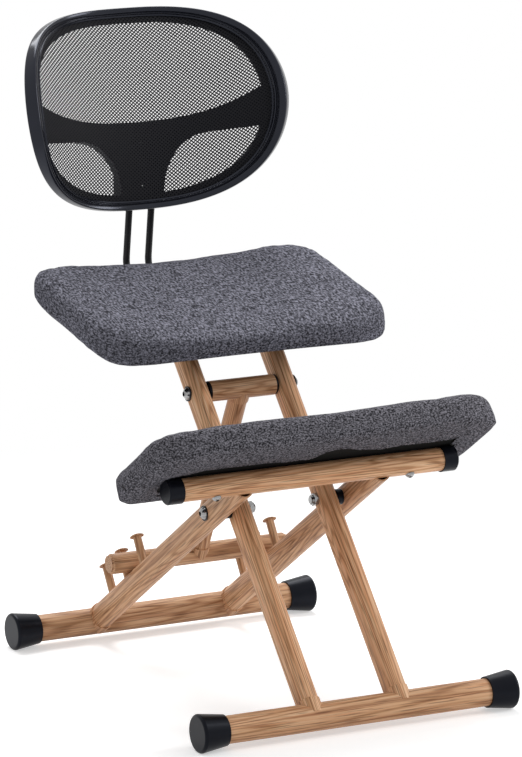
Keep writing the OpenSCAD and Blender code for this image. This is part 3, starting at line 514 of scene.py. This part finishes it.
def local_frame(y, z, tilt, shift=(0, 0, 0)):
    turn = Matrix.Rotation(math.radians(tilt), 4, "X")
    return Matrix.Translation(Vector((0, y - MID, z)) * MM) @ turn @ Matrix.Translation(Vector(shift) * MM)


# Folds in the cloth: height, then X and Y of both ends, then width
SEAT_FOLDS = [
    (3.2, -30, 120, -78, 10, 9), (-2.4, -12, 118, -58, 20, 7), (2.6, -64, 110, -120, 0, 8),
    (1.6, 40, 90, 10, -40, 10), (-1.4, 30, 84, 0, -30, 7), (1.6, -150, 60, -196, -90, 9),
    (1.3, 150, 90, 120, -20, 9)]
KNEE_FOLDS = [(1.2, -200, 40, -236, -70, 8), (-1.0, -188, 44, -222, -60, 6), (1.0, 215, 60, 236, -40, 8)]

# Raw edge of the cloth under each pad, at the front of the knee pad as the photo shows it
SEAT_RAW_EDGE = [
    (190, 0), (193, -40), (180, -92), (166, -104), (120, -110), (60, -107), (0, -112), (-60, -108),
    (-120, -111), (-166, -103), (-182, -90), (-192, -40), (-189, 0), (-192, 50), (-186, 90), (-168, 108),
    (-120, 114), (-60, 108), (0, 106), (60, 110), (120, 113), (168, 106), (186, 88), (191, 40)]
KNEE_RAW_EDGE = [
    (226, 12), (224, -2), (215, -6), (213, -32), (199, -27), (182, -24), (166, -25), (146, -26), (127, -25),
    (112, -22), (99, -21), (80, -24), (63, -28), (46, -36), (29, -41), (18, -41), (10, -36), (3, -25),
    (-4, -15), (-11, -12), (-28, -13), (-45, -13), (-64, -17), (-82, -18), (-100, -19), (-115, -18),
    (-132, -20), (-150, -19), (-168, -18), (-181, -13), (-198, -6), (-213, -3), (-216, 12), (-216, 40),
    (-210, 52), (-200, 57), (-214, 81), (-196, 60), (-150, 65), (-90, 62), (-30, 58), (30, 60), (90, 61),
    (150, 66), (205, 60), (224, 42)]

SEAT = Pad(
    name="seat_pad", node="seat_cushion", body="seat_frame", place=local_frame(435.934, 490.805, 10.8),
    plan=Plan(width=472, depth=323, front=5, rear=9, ends=12, tails=0),
    edge=Edge(height=28, low=9, high=16),
    crown=3.5, dish=15, sag=16, lean=(0, 0), tuck=2, folds=SEAT_FOLDS, swell=0.9, raw_edge=SEAT_RAW_EDGE,
    bulge=(1.5, 1.5), fill=0.75)
KNEE = Pad(
    name="knee_pad", node="knee_cushion", body="rear_frame",
    place=local_frame(130.711, 324.401, -33.0402, (0, -8.5, 17.7)),
    plan=Plan(width=534, depth=211, front=2, rear=20, ends=0, tails=24),
    edge=Edge(height=34, low=1.5, high=16),
    crown=6.0, dish=0, sag=0, lean=(1, 9), tuck=2, folds=KNEE_FOLDS, swell=0.35, raw_edge=KNEE_RAW_EDGE,
    bulge=(9.0, 2.5), fill=0.8)

SQUARENESS = 5.0  # power of a pad's plan
SIDE_POWER = 2.5  # power of the curve of its side
SIDE_BELOW, SIDE_ABOVE = 0.42, 0.58  # shares of the height below and above the widest line
ENDS_ABOVE, ENDS_MORE = 0.6, 0.5  # share of the ends' hollow at the top, and what the underside adds
UNDER_STEPS = (40, 12)  # insets of the rings on the flat underside
TOP_SHARES = (0.9, 0.75, 0.6, 0.45, 0.3, 0.15)  # shares of the plan of the rings on the top
PAD_STEPS = 96


def pad_outline(plan, inset, share, a):
    c, s = math.cos(a), math.sin(a)
    k = (abs(c) ** SQUARENESS + abs(s) ** SQUARENESS) ** (-1 / SQUARENESS) * share
    qx, qy = (plan.width / 2 - inset) * c * k, (plan.depth / 2 - inset) * s * k
    x, y = 2 * qx / plan.width, 2 * qy / plan.depth
    waist = plan.rear if y > 0 else plan.front
    return (qx - plan.ends * x * (1 - y * y),
            qy - waist * y * (1 - x * x) + plan.tails * max(0.0, y) ** 3 * x ** 4)


def plan_at(pad, z):
    """Plan of a pad at a height: its ends draw in towards the underside."""
    below = max(0.0, 1 - z / pad.edge.height)
    return pad.plan._replace(width=pad.plan.width - 2 * pad.tuck * below,
                             ends=pad.plan.ends * (ENDS_ABOVE + ENDS_MORE * below))


def pad_rings(pad):
    """Inset, height, share of the plan and share of the sag of each ring, from the underside to the top."""
    height, low, high = pad.edge
    rings = [(low + more, 0.0, 1, 0) for more in UNDER_STEPS]
    for t in range(-90, 91, 10):
        s = math.sin(math.radians(t))
        c = (1 - abs(s) ** SIDE_POWER) ** (1 / SIDE_POWER)
        if t < 0:
            rings.append((low * (1 - c), height * (SIDE_BELOW + SIDE_BELOW * s), 1, 1))
        else:
            rings.append((high * (1 - c), height * (SIDE_BELOW + SIDE_ABOVE * s), 1, c))
    return rings + [(high, height + pad.crown * (1 - f * f), f, 0) for f in TOP_SHARES]


def pad_shell(pad):
    """Closed skin of a pad, flat below."""
    height, rings = pad.edge.height, pad_rings(pad)
    verts, faces = [], []
    for inset, z, share, drop in rings:
        plan = plan_at(pad, z)
        for i in range(PAD_STEPS):
            x, y = pad_outline(plan, inset, share, 2 * math.pi * (i + 0.5) / PAD_STEPS)
            fx, ahead = 2 * x / pad.plan.width, max(0.0, -2 * y / pad.plan.depth)
            lift = pad.dish * fx * fx * z / height + pad.lean[fx > 0] * abs(fx) ** 1.5 * z / height
            lift -= pad.sag * drop * fx ** 4 * ahead ** 2.5
            verts.append(Vector((x, y, z + lift)) * MM)
    for r in range(len(rings) - 1):
        for i in range(PAD_STEPS):
            j = (i + 1) % PAD_STEPS
            p, q = r * PAD_STEPS, (r + 1) * PAD_STEPS
            faces.append((p + i, p + j, q + j, q + i))
    low_mid, top_mid = len(verts), len(verts) + 1
    verts += [Vector((0, 0, 0)), Vector((0, 0, height + pad.crown)) * MM]
    top = (len(rings) - 1) * PAD_STEPS
    for i in range(PAD_STEPS):
        j = (i + 1) % PAD_STEPS
        faces.append((low_mid, j, i))
        faces.append((top_mid, top + i, top + j))
    return verts, faces


# Cloth simulation, in metres
CLOTH = {
    "quality": 5, "mass": 0.3, "tension_stiffness": 12, "compression_stiffness": 12, "shear_stiffness": 6,
    "bending_stiffness": 0.6, "use_pressure": True, "uniform_pressure_force": 4.0,
    "vertex_group_mass": "held"}
CLOTH_FRAMES = 20
CLOTH_VOXEL = 0.005
CLOTH_HELD = 0.0012  # points below this height are held
CLOTH_TRAVEL = 0.004  # the most a point may move


def inflate(obj):
    """Cloth under pressure, held on its flat underside, with each point's travel capped."""
    obj.data.remesh_voxel_size = CLOTH_VOXEL
    bpy.context.view_layer.objects.active = obj
    obj.select_set(True)
    bpy.ops.object.voxel_remesh()
    mesh = obj.data
    rest = [v.co.copy() for v in mesh.vertices]
    held = obj.vertex_groups.new(name="held")
    held.add([i for i, co in enumerate(rest) if co.z < CLOTH_HELD], 1.0, "REPLACE")
    mod = obj.modifiers.new("cloth", "CLOTH")
    for key, value in CLOTH.items():
        setattr(mod.settings, key, value)
    mod.settings.effector_weights.gravity = 0
    mod.collision_settings.use_collision = False
    scene = bpy.context.scene
    for f in range(CLOTH_FRAMES):
        scene.frame_set(f + 1)
    seen = obj.evaluated_get(bpy.context.evaluated_depsgraph_get())
    moved = [v.co.copy() for v in seen.data.vertices]
    obj.modifiers.clear()
    obj.vertex_groups.clear()
    scene.frame_set(1)
    for v, a, b in zip(mesh.vertices, rest, moved):
        step = b - a
        if step.length > CLOTH_TRAVEL:
            step *= CLOTH_TRAVEL / step.length
        v.co = a + step
    subdivide(obj)
    obj.select_set(False)


def ridge(x, y, ax, ay, bx, by, width):
    """Soft ridge along a line: 1 on it, fading to both sides and to its ends."""
    dx, dy = bx - ax, by - ay
    t = ((x - ax) * dx + (y - ay) * dy) / (dx * dx + dy * dy)
    if not 0 <= t <= 1:
        return 0.0
    off = abs((x - ax) * dy - (y - ay) * dx) / math.hypot(dx, dy)
    return (1 - abs(2 * t - 1) ** 3) * math.exp(-(off / width) ** 2)


SWELL_SEED, HEM_SEED = 3.0, 2.0
SWELL_LONG, SWELL_BROAD, SWELL_SMALL = 42, 30, 15  # spacing of swells across, in depth, and of finer ones
SWELL_FROM = 1.5  # height above which the cloth swells and folds


def crumple(obj, pad):
    """Pushes the skin out and in along folds and gentle random swells."""
    mesh = obj.data
    normals = [v.normal.copy() for v in mesh.vertices]
    for v, normal in zip(mesh.vertices, normals):
        x, y, z = v.co / MM
        if z < SWELL_FROM:
            continue
        broad = Vector((x / SWELL_LONG + SWELL_SEED, y / SWELL_BROAD, z / SWELL_BROAD))
        small = Vector((x / SWELL_SMALL, y / SWELL_SMALL + SWELL_SEED, z / SWELL_SMALL))
        move = pad.swell * noise.noise(broad)
        move += 0.5 * pad.swell * noise.noise(small)
        for height, *line in pad.folds:
            move += height * ridge(x, y, *line)
        v.co += normal * move * MM
    mesh.update()


def in_loop(p, loop):
    """Whether a point lies inside a closed outline."""
    inside = False
    for a, b in zip(loop, loop[1:] + loop[:1]):
        if (a.y > p.y) != (b.y > p.y) and p.x < a.x + (p.y - a.y) / (b.y - a.y) * (b.x - a.x):
            inside = not inside
    return inside


def trace(loop):
    """Search tree of points about 1 mm apart along a closed outline."""
    dots = []
    for a, b in zip(loop, loop[1:] + loop[:1]):
        count = max(1, int((b - a).length))
        dots += [a.lerp(b, i / count).to_3d() for i in range(count)]
    tree = kdtree.KDTree(len(dots))
    for i, dot in enumerate(dots):
        tree.insert(dot, i)
    tree.balance()
    return tree


HEM_INSET = 2.0  # step in from the pad's lower edge
HEM_POINTS = 160
HEM_GRID, HEM_CLEAR = 5.0, 2.5  # spacing of the hem's grid, and its least distance from earlier points
HEM_RINGS = (0.4, 1.2, 2.4)  # more points close to the pad's edge
HEM_LAP = 2.4  # depth of the hem at its raw edge
HEM_ROUND = 3.2  # width of the hem's round edge, as a multiple of its bulge
HEM_FULL = 26.0  # distance from the raw edge at which the hem is fully deep
HEM_SUNK = 0.5  # height of the hem's outer line inside the pad
HEM_REAR = 1.5  # most that the hem bulges in the middle of the rear
HEM_REAR_FROM, HEM_REAR_HALF = 0.2, 0.4  # shares of the depth and width that this applies to
# Waves, and curl of the raw edge: height, length or width, and distance from the outline where full
HEM_WAVE, HEM_WAVE_LONG, HEM_WAVE_FROM = 0.7, 16, 12.0
HEM_CURL, HEM_CURL_WIDE, HEM_CURL_FROM = 0.8, 4.0, 9.0
HEM_THICK = 0.0008  # metres


def hem_ring(plan, inset, start):
    turns = [2 * math.pi * (i + start) / HEM_POINTS for i in range(HEM_POINTS)]
    return [Vector(pad_outline(plan, inset, 1, a)) for a in turns]


def hem_sheet(plan, inset, outer, inner):
    """Points and faces of the flat hem between a pad's outline and the raw edge."""

    def on_hem(p):
        return in_loop(p, outer) and not in_loop(p, inner)

    n, m = len(outer), len(inner)
    edges = [(i, (i + 1) % n) for i in range(n)] + [(n + i, n + (i + 1) % m) for i in range(m)]
    spots = outer + inner
    rows, columns = int(plan.depth / HEM_GRID), int(plan.width / HEM_GRID)
    for j in range(-rows, rows):
        for i in range(-columns, columns):
            spot = Vector(((i + (j % 2) / 2) * HEM_GRID, j * HEM_GRID))
            if on_hem(spot) and min((spot - q).length for q in spots) > HEM_CLEAR:
                spots.append(spot)
    for more in HEM_RINGS:
        spots += hem_ring(plan, inset + more, 0.5)
    flat, _, faces, *_ = geometry.delaunay_2d_cdt(spots, edges, [], 0, 1e-4)
    kept = []
    for f in faces:
        if on_hem(sum((flat[i] for i in f), Vector((0, 0))) / len(f)):
            faces_down = (flat[f[1]] - flat[f[0]]).cross(flat[f[2]] - flat[f[0]]) < 0
            kept.append(f if faces_down else tuple(reversed(f)))
    return flat, kept


def hem_drop(p, plan, bulge, rim_gap, raw_gap):
    """Depth of the hem at a point, by its distances from the pad's outline and from the raw edge."""
    full = bulge[0] + (bulge[1] - bulge[0]) * (p.x / plan.width + 0.5)
    if p.y > HEM_REAR_FROM * plan.depth and abs(p.x) < HEM_REAR_HALF * plan.width:
        full = min(full, HEM_REAR)
    t = min(1.0, rim_gap / (HEM_ROUND * full))
    depth = HEM_LAP + max(0.0, full - HEM_LAP) * min(1.0, raw_gap / HEM_FULL)
    drop = depth * math.sqrt(1 - (1 - t) ** 2) - HEM_SUNK
    wave = noise.noise(Vector((p.x / HEM_WAVE_LONG + HEM_SEED, p.y / HEM_WAVE_LONG, 0)))
    drop += HEM_WAVE * wave * min(1.0, rim_gap / HEM_WAVE_FROM)
    return drop + HEM_CURL * math.exp(-(raw_gap / HEM_CURL_WIDE) ** 2) * min(1.0, rim_gap / HEM_CURL_FROM)


def hem(obj, pad):
    """Cloth turned in under a pad round a soft edge, with a wavy raw edge, joined to the pad's mesh."""
    plan, inset = plan_at(pad, 0), pad.edge.low + HEM_INSET
    outer = hem_ring(plan, inset, 0)
    inner = [Vector(p) for p in pad.raw_edge]
    flat, faces = hem_sheet(plan, inset, outer, inner)
    rim_line, raw_line = trace(outer), trace(inner)
    verts = []
    for p in flat:
        rim_gap, raw_gap = (line.find(p.to_3d())[2] for line in (rim_line, raw_line))
        verts.append(Vector((p.x, p.y, -hem_drop(p, plan, pad.bulge, rim_gap, raw_gap))) * MM)
    strip = add_mesh("hem", verts, faces, obj.data.materials[0])
    shell = strip.modifiers.new("thickness", "SOLIDIFY")
    shell.thickness = HEM_THICK
    shell.offset = 0
    apply_modifiers(strip)
    smooth(strip.data)
    both = bmesh.new()
    both.from_mesh(obj.data)
    both.from_mesh(strip.data)
    both.to_mesh(obj.data)
    both.free()
    bpy.data.objects.remove(strip)


def cushion(pad, material):
    verts, faces = pad_shell(pad)
    obj = piece(pad.name, verts, faces, material, pad.body)
    inflate(obj)
    crumple(obj, pad)
    hem(obj, pad)
    obj.matrix_world = pad.place
    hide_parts(pad.node)
    return obj


SEAM_X, SEAM_AHEAD = -11.0, -200.0  # place across the seat, and where the search for its front face starts
SEAM_LOW, SEAM_HIGH = 6.0, 33.0
SEAM_STEPS, SEAM_SIDES = 14, 6
SEAM_WOBBLE, SEAM_TWIST = 0.4, 1.3  # sideways wobble, and its radians for each step
SEAM_R, SEAM_END_R = 0.9, 0.3
SEAM_FLAT, SEAM_SUNK = 0.7, 0.2  # flatness of the thread, and its step into the cloth


def seam(obj, pad, material):
    """Short closing seam on the front face of a pad: a thread laid on the cloth."""
    tree = bvhtree.BVHTree.FromObject(obj, bpy.context.evaluated_depsgraph_get())
    spine, verts, faces = [], [], []
    for i in range(SEAM_STEPS + 1):
        z = SEAM_LOW + (SEAM_HIGH - SEAM_LOW) * i / SEAM_STEPS
        start = Vector((SEAM_X + SEAM_WOBBLE * math.sin(i * SEAM_TWIST), SEAM_AHEAD, z)) * MM
        hit = tree.ray_cast(start, Vector((0, 1, 0)))[0]
        if hit:
            spine.append(hit)
    last = len(spine) - 1
    for i, p in enumerate(spine):
        r = SEAM_R if 0 < i < last else SEAM_END_R
        for k in range(SEAM_SIDES):
            a = 2 * math.pi * k / SEAM_SIDES
            verts.append(p + Vector((math.cos(a) * r, math.sin(a) * r * SEAM_FLAT + SEAM_SUNK, 0)) * MM)
    for i in range(last):
        for k in range(SEAM_SIDES):
            a, b = i * SEAM_SIDES + k, i * SEAM_SIDES + (k + 1) % SEAM_SIDES
            faces.append((a, b, b + SEAM_SIDES, a + SEAM_SIDES))
    faces.append(tuple(range(SEAM_SIDES))[::-1])
    faces.append(tuple(range(last * SEAM_SIDES, (last + 1) * SEAM_SIDES)))
    thread = piece("seat_seam", verts, faces, material, pad.body)
    thread.matrix_world = pad.place


def cushions():
    seat_cloth = linen("seat_linen", (0.028, 0.028, 0.0335), (0.265, 0.265, 0.320), (390, 175, 540))
    knee_cloth = linen("knee_linen", (0.018, 0.0175, 0.0200), (0.250, 0.243, 0.277), (390, 340, 480))
    seat = cushion(SEAT, seat_cloth)
    cushion(KNEE, knee_cloth)
    seam(seat, SEAT, seat_cloth)


# Stage and light, in metres

FLOOR_GLOW = 0.45
FLOOR_HALF = 60
FLOOR_NEAR, FLOOR_FAR = 0.5, 1.4  # distances between which the floor fades to white
WORLD_LIGHT, WORLD_SEEN = 0.50, 1.0
WHITE = (1, 1, 1, 1)


def seen_rays(n):
    """1 for rays from the camera, from reflections and through clear things, and 0 for other light."""
    path = n.add("ShaderNodeLightPath").outputs
    seen = n.math("MAXIMUM", path["Is Camera Ray"], path["Is Glossy Ray"])
    return n.math("MAXIMUM", seen, path["Is Transmission Ray"])


def floor_paint():
    """Pale floor that keeps the shadow near the chair and fades to plain white away from it."""
    n = new_material("floor")
    seen = seen_rays(n)
    matt = n.add("ShaderNodeBsdfDiffuse")
    n.feed(matt, {0: (0.86, 0.86, 0.86, 1)})
    glow = n.add("ShaderNodeEmission")
    n.feed(glow, {0: WHITE, 1: n.math("MULTIPLY", seen, FLOOR_GLOW)})
    near = n.add("ShaderNodeAddShader")
    n.feed(near, {0: matt.outputs[0], 1: glow.outputs[0]})
    white = n.add("ShaderNodeEmission")
    n.feed(white, {0: WHITE, 1: 1.0})
    reach = n.add("ShaderNodeVectorMath", operation="LENGTH")
    n.feed(reach, {0: n.add("ShaderNodeTexCoord").outputs["Object"]})
    fade = n.add("ShaderNodeMapRange", interpolation_type="SMOOTHSTEP")
    n.feed(fade, {0: reach.outputs["Value"], 1: FLOOR_NEAR, 2: FLOOR_FAR, 3: 0.0, 4: 1.0})
    both = n.add("ShaderNodeMixShader")
    n.feed(both, {0: n.math("MULTIPLY", fade.outputs[0], seen), 1: near.outputs[0], 2: white.outputs[0]})
    n.link(both.outputs[0], n.out.inputs[0])
    return n.owner


def stage():
    s = FLOOR_HALF
    floor = add_mesh("floor", [(-s, -s, 0), (s, -s, 0), (s, s, 0), (-s, s, 0)], [(0, 1, 2, 3)], floor_paint())
    world = bpy.data.worlds.new("studio")
    bpy.context.scene.world = world
    n = Nodes(world, "ShaderNodeOutputWorld")
    sky = n.add("ShaderNodeBackground")
    n.feed(sky, {0: WHITE, 1: n.span(seen_rays(n), WORLD_LIGHT, WORLD_SEEN)})
    n.link(sky.outputs[0], n.out.inputs[0])


def lamp(name, at, aim, size, watts):
    light = bpy.data.lights.new(name, "AREA")
    light.shape = "RECTANGLE"
    light.size, light.size_y = size
    light.energy = watts
    obj = bpy.data.objects.new(name, light)
    obj.location = at
    obj.rotation_euler = (Vector(aim) - Vector(at)).to_track_quat("-Z", "Y").to_euler()
    bpy.context.collection.objects.link(obj)


def lights():
    lamp("back", (0.3, 1.6, 3.0), (0, 0.1, 0.4), (2.0, 2.0), 88)
    lamp("side", (2.6, -1.2, 1.7), (0, 0.1, 0.5), (1.0, 1.6), 38)


add_camera()
stage()
lights()
paint_nodes()
rim(black_moulding("rim_gloss", (0.0062, 0.0066, 0.0105), 0.16, 0.36, 500.0, 0.02))
net(net_yarn("net_yarn"))
cushions()
bpy.context.scene.view_settings.view_transform = "Standard"

for obj in [o for o in bpy.context.scene.objects if "body" in o.keys()]:
    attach(obj, obj["body"])
